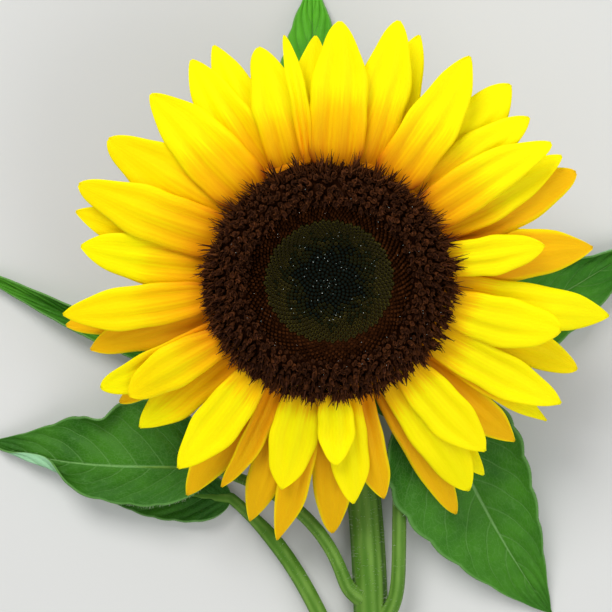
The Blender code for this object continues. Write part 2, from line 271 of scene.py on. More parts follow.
def stem_radius(run):
    """Radius of the stem at a distance along it, from its joint under the bloom."""
    flare = (NECK_RADIUS - STEM_RADIUS) * exp(-run / NECK_TAPER)
    return STEM_RADIUS + flare + (CUT_RADIUS - STEM_RADIUS) * run / STEM_LENGTH


def stem_point(run):
    """Point of the stem's axis: straight out of the bloom's back, round the bend,
    then along the ground."""
    if run <= NECK_STRAIGHT:
        return lean_point(0, 0, -BACK_DEPTH - STEM_GAP - run)
    start = lean_point(0, 0, -BACK_DEPTH - STEM_GAP - NECK_STRAIGHT)
    radius = (start.z - STEM_RADIUS) / (1 + sin(FACE_LEAN))
    bend = (pi / 2 + FACE_LEAN) * radius
    centre_y = start.y - radius * cos(FACE_LEAN)
    centre_z = start.z - radius * sin(FACE_LEAN)
    bent = run - NECK_STRAIGHT
    sway = STEM_SWAY * (1 - exp(-(bent / SWAY_LENGTH)**1.6))
    if bent < bend:
        angle = FACE_LEAN - bent / radius
        return Vector((sway, centre_y + radius * cos(angle),
                       centre_z + radius * sin(angle)))
    lying = centre_z - radius + stem_radius(run) - stem_radius(bend)
    return Vector((sway, centre_y - (bent - bend), lying))


def stem_tangent(run):
    """Direction of the stem, towards its cut end."""
    step = 0.5 * MM
    return (stem_point(run + step) - stem_point(max(0, run - step))).normalized()


# The frame states where the stem's cut end is, and the rest follows from that.
CUT_END = Vector(frame["record"]["mounts"][0]["pos_m"])
GROUND = CUT_END - stem_point(STEM_LENGTH)


def to_frame(point):
    """A point over the ground under the bloom, in the model's frame."""
    return point + GROUND


def face_point(clock, radius, height):
    """A point of the bloom, by its clock angle in radians."""
    return to_frame(lean_point(radius * sin(clock), radius * cos(clock), height))


def face_direction(clock, outward, up):
    """A direction at a clock angle that goes outward and out of the face."""
    turned = Vector((outward * sin(clock), outward * cos(clock), up))
    return (LEANING @ turned).normalized()


# ---- meshes -----------------------------------------------------------------------

def add_piece(name, mesh, finishes, node=None):
    """A finished piece that rides with the plant, in place of its node if named."""
    obj = bpy.data.objects.new(name, mesh)
    bpy.context.scene.collection.objects.link(obj)
    for finish in finishes:
        mesh.materials.append(finish)
    mesh.shade_smooth()
    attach(obj, "root")
    if node:
        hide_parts(node)
    return obj


def finished(name, bm):
    """The mesh of a bmesh that isn't needed any more."""
    mesh = bpy.data.meshes.new(name)
    bm.to_mesh(mesh)
    bm.free()
    return mesh


def sheet_mesh(name, rows, columns, place, closed=False):
    """A grid laid out by place(along, across), both 0..1, with the same pair as its
    UV map. A closed sheet joins its first and last columns into a tube."""
    bm = bmesh.new()
    bmesh.ops.create_grid(bm, x_segments=rows, y_segments=columns, size=0.5)
    layer = bm.loops.layers.uv.new("along_across")
    for face in bm.faces:
        for loop in face.loops:
            loop[layer].uv = (loop.vert.co.x + 0.5, loop.vert.co.y + 0.5)
    for vertex in bm.verts:
        vertex.co = place(vertex.co.x + 0.5, vertex.co.y + 0.5)
    if closed:
        bmesh.ops.remove_doubles(bm, verts=bm.verts, dist=MERGE_DISTANCE)
    bm.normal_update()
    if sum(face.normal.z for face in bm.faces) < 0:
        bmesh.ops.reverse_faces(bm, faces=bm.faces)
    return finished(name, bm)


def thicken(obj, thickness, back_slot=0):
    """Gives a sheet its thickness, half of it on either side."""
    shell = obj.modifiers.new("thickness", "SOLIDIFY")
    shell.thickness = thickness
    shell.offset = 0
    shell.use_even_offset = False
    shell.material_offset = back_slot
    shell.material_offset_rim = 0


def rings_along(points):
    """For each point of a route: its two sideways directions, turning with it."""
    sides = []
    side = Vector((1, 0, 0))
    for i in range(len(points)):
        ahead = points[min(i + 1, len(points) - 1)] - points[max(i - 1, 0)]
        ahead.normalize()
        if i == 0 and abs(side.dot(ahead)) > 0.9:
            side = Vector((0, 0, 1))
        side = (side - ahead * side.dot(ahead)).normalized()
        sides.append((side.copy(), ahead.cross(side)))
    return sides


def spoke(sides, turn):
    """The direction at a turn, 0..1, between a pair of sideways ones."""
    right, up = sides
    return right * cos(tau * turn) + up * sin(tau * turn)


def tube_mesh(name, points, radius_at, columns):
    """A limb along a route: radius_at(step, turn) gives its radius, turn in 0..1."""
    rows = len(points) - 1
    sides = rings_along(points)

    def place(along, across):
        step = round(along * rows)
        return points[step] + spoke(sides[step], across) * radius_at(step, across)

    mesh = sheet_mesh(name, rows, columns, place, closed=True)
    bm = bmesh.new()
    bm.from_mesh(mesh)
    bmesh.ops.holes_fill(bm, edges=[edge for edge in bm.edges if edge.is_boundary])
    bmesh.ops.recalc_face_normals(bm, faces=bm.faces)
    bm.to_mesh(mesh)
    bm.free()
    return mesh


def turned_mesh(name, profile):
    """A profile of (radius, height) pairs turned about the bloom's axis."""
    bm = bmesh.new()
    chain = [bm.verts.new((radius, 0, height)) for radius, height in profile]
    edges = [bm.edges.new(pair) for pair in zip(chain, chain[1:])]
    bmesh.ops.spin(bm, geom=chain + edges, cent=(0, 0, 0), axis=(0, 0, 1),
                   angle=tau, steps=TURNED_STEPS, use_merge=True)
    bmesh.ops.remove_doubles(bm, verts=bm.verts, dist=MERGE_DISTANCE)
    bmesh.ops.recalc_face_normals(bm, faces=bm.faces)
    for vertex in bm.verts:
        vertex.co = to_frame(lean_point(*vertex.co))
    return finished(name, bm)


def template(*shapes):
    """A small shape as arrays: its vertices, its faces and each face's finish."""
    vertices, faces, slots = [], [], []
    for bm, slot in shapes:
        base = len(vertices)
        bm.verts.index_update()
        vertices += [vertex.co[:] for vertex in bm.verts]
        faces += [[base + vertex.index for vertex in face.verts] for face in bm.faces]
        slots += [slot] * len(bm.faces)
        bm.free()
    return np.array(vertices), faces, slots


def scatter_mesh(name, shape, places, slot_shift=None):
    """Copies of a small shape joined into one mesh, one for each 4x4 place.
    slot_shift adds to the finish numbers of each copy."""
    vertices, faces, slots = shape
    flat = np.array([[*vertex, 1.0] for vertex in vertices])
    stack = np.array([np.array(place) for place in places])
    points = np.einsum("nij,vj->nvi", stack, flat)[:, :, :3].reshape(-1, 3)
    sizes = np.array([len(face) for face in faces])
    corners = np.concatenate([np.array(face) for face in faces])
    count, each = len(places), len(vertices)
    all_corners = (corners[None, :] + each * np.arange(count)[:, None]).reshape(-1)
    all_sizes = np.tile(sizes, count)
    mesh = bpy.data.meshes.new(name)
    mesh.vertices.add(len(points))
    mesh.vertices.foreach_set("co", points.reshape(-1))
    mesh.loops.add(len(all_corners))
    mesh.loops.foreach_set("vertex_index", all_corners)
    mesh.polygons.add(len(all_sizes))
    mesh.polygons.foreach_set("loop_start", np.concatenate([[0], np.cumsum(all_sizes)[:-1]]))
    finish = np.tile(np.array(slots), count)
    if slot_shift is not None:
        finish = finish + np.repeat(np.array(slot_shift), len(faces))
    mesh.polygons.foreach_set("material_index", finish)
    mesh.update(calc_edges=True)
    mesh.validate()
    return mesh


def add_scattered(name, shape, places, finishes, shifts=None, node=None):
    """A piece made of copies of a small shape."""
    piece = add_piece(name, scatter_mesh(name, shape, places, shifts), finishes, node)


def standing(root, direction, size, spin=0.0, length=None):
    """The place of a small shape that stands on its root along a direction."""
    turn = direction.to_track_quat("Z", "Y").to_matrix().to_4x4()
    scale = Matrix.Diagonal((size, size, length or size, 1))
    return Matrix.Translation(root) @ turn @ Matrix.Rotation(spin, 4, "Z") @ scale


def cone_shape(sides, base, top, height, segments=1, bend=None):
    """A tapering prism from Z = 0 up, closed at both ends; bend(height share) gives
    its profile's radius if it isn't straight."""
    bm = bmesh.new()
    bmesh.ops.create_cone(bm, cap_ends=True, segments=sides, radius1=base,
                          radius2=max(top, 1e-6), depth=height)
    for vertex in bm.verts:
        vertex.co.z += height / 2
    if segments > 1:
        tall = [edge for edge in bm.edges
                if abs(edge.verts[0].co.z - edge.verts[1].co.z) > height / 2]
        bmesh.ops.subdivide_edges(bm, edges=tall, cuts=segments - 1, use_grid_fill=True)
    if bend:
        for vertex in bm.verts:
            share = vertex.co.z / height
            flat = Vector((vertex.co.x, vertex.co.y))
            if flat.length > 1e-7:
                flat *= bend(share) / flat.length
            vertex.co.x, vertex.co.y = flat
    return bm


def limb_spots(points, count, draw, first, last):
    """Random spots round a limb: step, turn and the direction outwards."""
    sides = rings_along(points)
    for _ in range(count):
        step, turn = draw.randrange(first, last), draw.random()
        yield step, turn, spoke(sides[step], turn)


def margin_hairs(place, count, draw, first, last):
    """Roots and directions of bristles on the margins of a sheet."""
    for _ in range(count):
        along, margin = draw.uniform(first, last), draw.choice((0.0, 1.0))
        edge = place(along, margin)
        yield edge, (edge - place(along, 0.5)).normalized()


def add_hairs(name, roots, size):
    """Fine bristles on (root, direction) pairs."""
    draw = random.Random(HAIR_SEEDS[name])
    length, radius = size
    places = []
    for root, direction in roots:
        wander = Vector([draw.uniform(-0.45, 0.45) for _ in range(3)])
        lean = (direction + wander).normalized()
        tall = length * draw.uniform(0.5, 1.2)
        if (root + lean * tall).z > 0:
            places.append(standing(root, lean, radius, draw.uniform(0, 6.3), tall))
    bristle = template((cone_shape(3, 1, 0.05, 1), 0))
    add_scattered(name, bristle, places, [hair_finish()])


# ---- finishes ---------------------------------------------------------------------

def shade(colour, share):
    """A colour made darker or lighter."""
    return tuple(share * part for part in colour)


def maths(operation, reflected=False):
    """A method of Wire that adds one Math node."""
    def method(self, *others):
        values = (*others, self) if reflected else (self, *others)
        return self.finish.node("ShaderNodeMath", dict(enumerate(values)),
                                operation=operation)

    return method


class Wire:
    """A value on its way through a finish. Arithmetic on it adds Math nodes."""

    def __init__(self, finish, socket):
        self.finish = finish
        self.socket = socket

    __add__ = __radd__ = maths("ADD")
    __sub__ = maths("SUBTRACT")
    __rsub__ = maths("SUBTRACT", reflected=True)
    __mul__ = __rmul__ = maths("MULTIPLY")
    __pow__ = maths("POWER")
    __abs__ = maths("ABSOLUTE")
    sine = maths("SINE")
    fraction = maths("FRACT")
    above = maths("GREATER_THAN")

    def ramp(self, low, high, to_low=0.0, to_high=1.0):
        """to_low below low, to_high above high and an even S between them."""
        return self.finish.node(
            "ShaderNodeMapRange", {"Value": self, "From Min": low, "From Max": high,
                                   "To Min": to_low, "To Max": to_high},
            interpolation_type="SMOOTHSTEP")


class Finish:
    """A material under construction, with its shader's constants."""

    def __init__(self, name, **constants):
        self.material = bpy.data.materials.new(name)
        self.material.use_nodes = True
        self.tree = self.material.node_tree
        self.shader = self.tree.nodes["Principled BSDF"]
        for key, value in constants.items():
            self.shader.inputs[key.replace("_", " ")].default_value = value

    def node(self, kind, values=None, output=0, **settings):
        """A node of any type: its settings first, then its sockets' values."""
        made = self.tree.nodes.new(kind)
        for key, value in settings.items():
            setattr(made, key, value)
        for key, value in (values or {}).items():
            self.plug(made.inputs[key], value)
        return Wire(self, made.outputs[output])

    def plug(self, socket, value):
        """Links a wire to a socket, or sets the socket's own value."""
        if isinstance(value, Wire):
            self.tree.links.new(value.socket, socket)
        elif socket.type == "RGBA":
            socket.default_value = (*value[:3], 1)
        else:
            socket.default_value = value

    def mix(self, share, first, second):
        """Two colours mixed; sockets 0, 6 and 7 are the share and the colours."""
        return self.node("ShaderNodeMix", {0: share, 6: first, 7: second}, output=2,
                         data_type="RGBA", blend_type="MIX", clamp_factor=True)

    def along_across(self):
        """The two numbers of a sheet's UV map."""
        pair = self.node("ShaderNodeUVMap", uv_map="along_across")
        parts = self.node("ShaderNodeSeparateXYZ", {0: pair})
        return parts, Wire(self, parts.socket.node.outputs[1])

    def place(self, *stretch):
        """Object coordinates, stretched."""
        spot = self.node("ShaderNodeTexCoord", output=3)
        return self.node("ShaderNodeVectorMath", {0: spot, 1: stretch},
                         operation="MULTIPLY")

    def speckle(self, vector, detail, scale=1.0):
        """Noise, 0..1."""
        return self.node("ShaderNodeTexNoise", {"Vector": vector, "Scale": scale,
                                                "Detail": detail, "Roughness": 0.55})

    def bump(self, height, distance, strength):
        """A normal for fine relief."""
        return self.node("ShaderNodeBump", {"Height": height, "Distance": distance,
                                            "Strength": strength})

    def done(self, **links):
        """The material, once what changes over its surface is linked."""
        for key, value in links.items():
            self.plug(self.shader.inputs[key.replace("_", " ")], value)
        return self.material


def petal_finish(name, root, middle, tip, edge, warmth, root_shading, seed):
    """A ray floret: orange at its very root, darkened there by painted shade, orange beyond,
    then yellow, with fine lengthwise veins, furrows of painted shade and bright margins.
    warmth is how far the orange reaches, partly the petal's own and partly painted shade,
    burn how strongly painted shade darkens the root and paints a shadow along its flanks."""
    finish = Finish(name, Roughness=0.6, Specular_IOR_Level=0.06, Subsurface_Weight=0.4,
                    Subsurface_Radius=(1.0, 0.7, 0.05), Subsurface_Scale=3 * MM)
    along, across = finish.along_across()
    pair = finish.node("ShaderNodeCombineXYZ", {0: along * 1.6 + seed, 1: across * 21})
    streaks = finish.speckle(pair, 3.0)
    broad = finish.speckle(finish.place(60, 60, 60), 2.0)
    reach = along + (streaks - 0.5) * 0.35 + (broad - 0.5) * 0.25
    colour = finish.mix(reach.ramp(0.0, warmth), root, middle)
    colour = finish.mix(reach.ramp(warmth * 0.8, warmth * 1.35 + 0.06), colour, tip)
    margin = abs(across - 0.5).ramp(0.38, 0.5, 0.0, 0.6) * along.ramp(0.2, 0.5)
    colour = finish.mix(margin, colour, edge)
    veins = (across * (tau * 11) + streaks * 2).sine() * 0.5 + 0.5
    groove = (1 - veins) * along.ramp(0.1, 0.8, 0.14, 0.02)
    colour = finish.mix(groove, colour, root)
    # Painted shade in two or three broad lengthwise furrows, strongest towards the root
    furrows = (across * (tau * 2.6) + streaks * 1.6 + broad * 5).sine() * 0.5 + 0.5
    furrow_shade = furrows**4 * along.ramp(0.3, 0.85, 0.12 + 0.22 * root_shading, 0.0)
    colour = finish.mix(furrow_shade, colour, root)
    # Painted shade that darkens the very root towards a deeper orange
    root_shadow = (along + (streaks - 0.5) * 0.12).ramp(0.02, 0.18, 0.75 * root_shading, 0.0)
    colour = finish.mix(root_shadow, colour, shade(root, 0.6))
    # Painted shadow along the flanks of the root, between the claws
    flank_shadow = abs(across - 0.5).ramp(0.3, 0.5) * along.ramp(0.05, 0.24, 0.9 * root_shading, 0.0)
    colour = finish.mix(flank_shadow, colour, FLANK_SHADOW_COLOUR)
    height = veins * 0.5 + streaks * 0.8
    return finish.done(Base_Color=colour, Normal=finish.bump(height, 0.00012, 0.35))


def leaf_finish(name, blade, pale, vein, seed, underside=False):
    """A leaf's face: midrib, side veins that sweep towards the tip, a fine net."""
    finish = Finish(name, Roughness=0.7 if underside else 0.5, Specular_IOR_Level=0.12)
    along, across = finish.along_across()
    signed = (across - 0.5) * 2
    out = abs(signed)
    half = signed.above(0.0)
    beat = (along - (out**1.25) * 0.3) * 8.5 + half * 0.5
    off_vein = abs(beat.fraction() - 0.5)
    side = off_vein.ramp(0.0, 0.07, 1.0, 0.0) * out.ramp(0.55, 1.0, 1.0, 0.25)
    rib = out.ramp(0.012, 0.038, 1.0, 0.0)
    net_at = finish.node("ShaderNodeCombineXYZ", {0: along * 30 + seed, 1: signed * 12})
    cells = finish.node("ShaderNodeTexVoronoi", {"Vector": net_at, "Scale": 1.6},
                        feature="DISTANCE_TO_EDGE")
    net = cells.ramp(0.0, 0.12, 1.0, 0.0)
    tone = finish.speckle(finish.place(45, 45, 45), 4.0)
    colour = finish.mix(tone.ramp(0.3, 0.7), blade, pale)
    colour = finish.mix(net * 0.16, colour, vein)
    colour = finish.mix(side * (0.75 if underside else 0.35), colour, vein)
    colour = finish.mix(rib, colour, vein)
    colour = finish.mix(out.ramp(0.93, 0.99) * 0.6, colour, vein)
    sign = 1 if underside else -1
    height = net * (-0.3) + (side + rib) * sign + tone * 0.3
    return finish.done(Base_Color=colour, Normal=finish.bump(height, 0.00025, 0.7))


def stem_finish(name, dark, pale, turns):
    """Ridged green skin with its ridges painted paler as highlights, and fine specks."""
    finish = Finish(name, Roughness=0.55, Specular_IOR_Level=0.12)
    across = finish.along_across()[1]
    # Painted highlights: the ridges paler than the grooves between them
    ridges = (across * (tau * turns)).sine() * 0.5 + 0.5
    grain = finish.speckle(finish.place(300, 60, 300), 3.0)
    tone = finish.speckle(finish.place(40, 40, 40), 3.0)
    share = ridges * 0.4 + (grain - 0.5) * 0.9 + (tone - 0.5) * 0.9 + 0.15
    colour = finish.mix(share.ramp(0.0, 0.9), dark, pale)
    return finish.done(Base_Color=colour, Normal=finish.bump(grain, 0.0002, 0.5))


def soft_finish(name, colour, other, scale=400.0, roughness=0.7, gloss=0.2):
    """Two close colours in fine grains, for the small things."""
    finish = Finish(name, Roughness=roughness, Specular_IOR_Level=gloss)
    grain = finish.speckle(finish.place(1, 1, 1), 2.0, scale)
    blend = finish.mix(grain.ramp(0.35, 0.65), colour, other)
    return finish.done(Base_Color=blend, Normal=finish.bump(grain, 0.0001, 0.4))


def tinted(name, colour, share=1, other=0.6, gloss=0.05):
    """A soft finish of a shaded colour and of a second tone of it."""
    tint = shade(colour, share)
    return soft_finish(name, tint, shade(tint, other), gloss=gloss)


def hair_finish():
    """The pale finish that all bristles share."""
    return bpy.data.materials.get("hair_pale") or soft_finish(
        "hair_pale", (0.45, 0.55, 0.35), (0.6, 0.68, 0.5), 500, 0.5)


def floor_finish(colour):
    """Plain paper with a faint grain."""
    finish = Finish("floor_paper", Roughness=0.9)
    grain = finish.speckle(finish.place(1, 1, 1), 2.0, 900.0)
    blend = finish.mix(grain * 0.06, colour, shade(colour, 0.9))
    return finish.done(Base_Color=blend)


# ---- settings ---------------------------------------------------------------------

def colour_property(name, default, description):
    return FloatVectorProperty(name=name, default=default, description=description,
                               subtype="COLOR", min=0, max=1)


def length_property(name, default, description):
    return FloatProperty(name=name, default=default, description=description,
                         unit="LENGTH", subtype="DISTANCE")


def power_property(name, default, description):
    return FloatProperty(name=name, default=default, description=description, unit="POWER")


def count_property(name, default, lowest, description):
    return IntProperty(name=name, default=default, min=lowest, description=description)


class SunflowerBloom(bpy.types.PropertyGroup):
    ray_root: colour_property("Ray root", (0.78, 0.24, 0.0), "Orange of the roots")
    ray_middle: colour_property("Ray middle", (0.97, 0.50, 0.0), "Gold between")
    ray_tip: colour_property("Ray tip", (1.0, 0.82, 0.0), "Bright yellow of the tips")
    ray_honey: colour_property("Ray honey", (1.0, 0.68, 0.0), "Tips of the golden ones")
    # The back row's orange is painted shade of the ray colours
    ray_amber: colour_property("Ray amber", (0.80, 0.36, 0.003), "The shaded back row")
    ray_thickness: length_property("Ray thickness", 0.35 * MM, "Of each ray floret")
    open_florets: count_property("Open florets", 1150, 100, "Those in the disc's ring")
    young_florets: count_property("Young florets", 600, 100, "Those about to open")
    edge_scales: count_property("Edge scales", 1350, 0, "Dark scales at the disc's edge")
    dew_drops: count_property("Dew drops", 120, 0, "Pale specks on the disc")
    buds: count_property("Buds", 880, 50, "Closed buds inside the ring")
    floret_brown: colour_property("Floret brown", (0.064, 0.019, 0.005), "Open florets")
    floret_red: colour_property("Floret red", (0.14, 0.046, 0.013), "Their stigmas")
    bud_olive: colour_property("Bud olive", (0.046, 0.038, 0.006), "Net between the buds")


class SunflowerGreens(bpy.types.PropertyGroup):
    leaf_green: colour_property("Leaf green", (0.018, 0.104, 0.004), "Leaf face")
    leaf_light: colour_property("Light green", (0.046, 0.188, 0.008), "Lit parts of it")
    vein_green: colour_property("Vein green", (0.14, 0.31, 0.08), "Veins and margins")
    under_green: colour_property("Underside", (0.25, 0.46, 0.27), "Leaf underside")
    stem_green: colour_property("Stem green", (0.06, 0.16, 0.012), "Grooves of the stem")
    stem_light: colour_property("Stem light", (0.15, 0.285, 0.045), "Ridges of the stem")
    leaf_thickness: length_property("Leaf thickness", 0.6 * MM, "Of each leaf's blade")
    ridges: count_property("Ridges", 11, 3, "Ridges round the stem")


class SunflowerStage(bpy.types.PropertyGroup):
    floor_colour: colour_property("Floor", (0.58, 0.58, 0.56), "Plain floor")
    key_power: power_property("Key light", 11.0, "Large soft light behind the bloom")
    fill_power: power_property("Fill light", 5.0, "Light from the stem's side")
    camera_height: length_property("Camera height", 544.1 * MM, "Above the ground")


# ---- the bloom --------------------------------------------------------------------

def ray_height(row, radius):
    """Height of a row's ray florets above the face's plane."""
    x = (radius - RAY_ROOT) / RAY_REFERENCE
    droop = RAY_DROOP + ROW_EXTRA_DROOP * row
    return (ROW_TOP - ROW_PITCH * row + RAY_LIFT * x
            - droop * 1.6 * x * x / (1 + 0.6 * x))


def crowding(clock):
    """1 among the ray florets at the top of the bloom and 0 among the lowest ones."""
    return smooth(*CROWD_RISE, cos(radians(clock)))


def ray_outline(along, bluntness, taper, root_share):
    """Share of its width that a ray floret has, from its claw to its tip."""
    if along < 0.5:
        claw = sqrt(1 - (1 - min(1, along / CLAW_SHARE))**2)
        share = root_share + (1 - root_share) * sin(pi * along)
        return share * (0.3 + 0.7 * claw)
    return max(0.05, max(0.0, 1 - (2 * along - 1)**bluntness)**taper)


def petal_kind(number, row, clock):
    """Which petal finish a ray floret has: the back rows have painted shade."""
    if number in SUNLIT_RAYS:
        return "bright"
    if number in HONEY_RAYS:
        return "honey"
    height = cos(radians(clock))
    if height > CROWN_FROM or number in WARM_RAYS:
        return "crown"
    if row == 3 or number in SHADED_RAYS:
        return "shaded_amber"
    return "bright" if row == 0 else "gold"


def make_ray(number, row, clock, reach, width, finish, thickness):
    """One ray floret with its own curl, twist and bend."""
    draw = random.Random(RAY_SEED + number)
    crowd = crowding(clock) if width > SLENDER_WIDTH else 0
    start = RAY_ROOT - (0.8 + 1.8 * crowd) * MM
    half_width = width * MM / 2 * (1 + CROWD_WIDENING * crowd)
    root_share = min(0.97, RAY_ROOT_SHARES[row] + CROWD_ROOT_SHARE * crowd)
    bluntness = RAY_BLUNTNESS + (CROWD_BLUNTNESS - RAY_BLUNTNESS) * crowd
    bluntness += draw.uniform(-0.15, 0.25)
    taper = 0.68 - 0.06 * crowd + draw.uniform(-0.08, 0.25) * (1 - crowd)
    hook = draw.uniform(-1.4, 1.4) * MM
    channel = draw.uniform(-1.3, 1.3) * (1 - 0.6 * crowd) * MM
    twist = radians(draw.uniform(-9, 9) * (1 - crowd) + 5 * crowd)
    bow = draw.uniform(-1.0, 1.0) * MM
    curl = draw.uniform(-1.2, 1.6) * MM
    wave = draw.uniform(0, 6.3)
    notch = draw.uniform(0, 0.035)
    skew = draw.uniform(-0.25, 0.25)
    turn = radians(clock)

    def place(along, across):
        side = across * 2 - 1
        share = ray_outline(along, bluntness, taper, root_share)
        share *= 1 + 0.035 * sin(along * 17 + wave) * smooth(0.2, 0.5, along)
        tooth = notch * smooth(0.75, 0.95, along) * share * cos(side * 7 + wave)
        radius = start + along * (reach * MM - start) * (1 - tooth)
        sideways = side * share * half_width + bow * sin(pi * along)
        sideways += hook * smooth(0.65, 1.1, along)
        ribs = 0.3 * cos(2.6 * pi * side + skew) + 0.06 * cos(13 * side + wave)
        rise = ribs * MM * smooth(0, 0.2, along) * (1 - smooth(0.5, 1, along))
        rise += channel * (side * side - 0.3) * sin(pi * along**0.8)
        rise += curl * smooth(0.6, 1, along)
        rise += 0.25 * MM * sin(along * 11 + wave + side * 2) * side * side
        rise += sin(twist * smooth(0.1, 1, along)) * side * share * half_width
        height = ray_height(row, radius) + rise
        return to_frame(lean_point(
            sideways * cos(turn) + radius * sin(turn),
            radius * cos(turn) - sideways * sin(turn), height))

    name = f"ray_floret_{number:02d}"
    mesh = sheet_mesh(name, *RAY_GRID, place)
    piece = add_piece(name, mesh, [finish], f"ray_{number:02d}")
    thicken(piece, thickness)


class SUNFLOWER_OT_rays(bpy.types.Operator):
    """Adds the ray florets, each in place of its plain blade"""
    bl_idname = "sunflower.rays"
    bl_label = "Ray florets"

    def execute(self, context):
        bloom = context.scene.sunflower_bloom
        root, middle, tip = bloom.ray_root, bloom.ray_middle, bloom.ray_tip
        # Painted shade of the back row: its orange, and tips between that and gold
        shaded_amber = bloom.ray_amber
        shaded_tip = [0.6 * first + 0.4 * second for first, second in zip(shaded_amber, middle)]
        finishes = {}
        # Copies of one ray finish with painted light and shade: the crown with its shaded
        # root, the sunlit front row, golden tips, the middle rows with their orange reaching
        # far, and the back row in shade
        for kind, colours, warmth, root_shading, seed in (
                ("crown", (root, middle, tip), 0.4, 1, 0),
                ("bright", (shaded_amber, middle, tip), 0.2, 0.1, 4),
                ("honey", (root, middle, bloom.ray_honey), 0.38, 0.4, 6),
                ("gold", (root, middle, tip), 0.62, 0.3, 8),
                ("shaded_amber", (root, shaded_amber, shaded_tip), 0.5, 0.4, 12)):
            finishes[kind] = petal_finish("petal_" + kind, *colours, tip, warmth, root_shading, seed)
        number = 0
        for row, rays in enumerate(RAY_ROWS):
            for clock, reach, width in rays:
                number += 1
                make_ray(number, row, clock, reach, width,
                         finishes[petal_kind(number, row, clock)], bloom.ray_thickness)
        return {"FINISHED"}


def disc_height(radius):
    """Height of the disc's skin, from which the florets and buds stand."""
    rise = 4.6 * smooth(12 * MM, 25 * MM, radius)
    fall = 5.6 * smooth(27 * MM, 38 * MM, radius)
    return (1.6 + rise - fall) * MM


def disc_slope(radius):
    """How steeply the disc's skin rises outwards."""
    step = 0.2 * MM
    return (disc_height(radius + step) - disc_height(radius - step)) / (2 * step)


def disc_point(clock, radius, above):
    """A point of the disc at a height above its skin; the disc sits a little low."""
    height = disc_height(radius) + above
    x = radius * sin(clock) + DISC_SHIFT[0]
    y = radius * cos(clock) + DISC_SHIFT[1]
    return to_frame(lean_point(x, y, height))


def golden_places(first, count, inner, outer):
    """Radius, clock angle and share of each place of a spiral that fills a ring."""
    for i in range(count):
        share = (i + 0.5) / count
        radius = sqrt(inner**2 + share * (outer**2 - inner**2))
        yield radius, (first + i) * GOLDEN_ANGLE, share


def floret_shape():
    """An open floret: a tube that flares into five lobes, dark anthers, a stigma."""
    cup = bmesh.new()
    bmesh.ops.create_cone(cup, cap_ends=True, cap_tris=True, segments=10, radius1=0.42,
                          radius2=0.6, depth=3.0)
    for vertex in cup.verts:
        vertex.co.z += 1.5
        flat = Vector((vertex.co.x, vertex.co.y))
        if vertex.co.z > 1.5 and flat.length < 0.1:
            vertex.co.z = 1.9
        elif vertex.co.z > 1.5:
            lobe = round(atan2(flat.y, flat.x) / (pi / 5)) % 2 == 0
            flat = flat.normalized() * (1.02 if lobe else 0.55)
            vertex.co = (flat.x, flat.y, 3.05 if lobe else 2.6)
    anthers = cone_shape(5, 0.3, 0.1, 3.2, 2, lambda share: 0.36 - 0.28 * share**3)
    for vertex in anthers.verts:
        vertex.co.z += 1.6
    stigmas = []
    for side in (-1, 1):
        prong = cone_shape(3, 0.12, 0.06, 1.5, 3)
        for vertex in prong.verts:
            share = vertex.co.z / 1.5
            vertex.co.x += side * 0.6 * share * share
            vertex.co.z = 4.6 + vertex.co.z * (0.75 - 0.45 * share)
        stigmas.append((prong, 1))
    return template((cup, 0), (anthers, 2), *stigmas)


def bud_shape():
    """A closed bud: a dark dome in the thin six-sided rim of its scale."""
    cap = cone_shape(6, 0.5, 0.14, 1.2, 3, lambda share: 0.66 * sqrt(1 - 0.93 * share**2))
    rim = cone_shape(6, 0.78, 0.7, 0.7)
    return template((cap, 0), (rim, 1))


def young_shape():
    """A floret that is about to open: a pointed five-sided dome."""
    return template((cone_shape(5, 0.5, 0.05, 1.4, 3,
                                lambda share: 0.64 * (1 - share**1.7) + 0.05), 0))


def spike_shape():
    """A dark pointed scale that curves, for the disc's ragged edge."""
    spike = cone_shape(4, 0.4, 0.05, 4.0, 4)
    for vertex in spike.verts:
        share = vertex.co.z / 4.0
        vertex.co.y *= 0.5
        vertex.co.x += 0.8 * share * share
    return template((spike, 0))


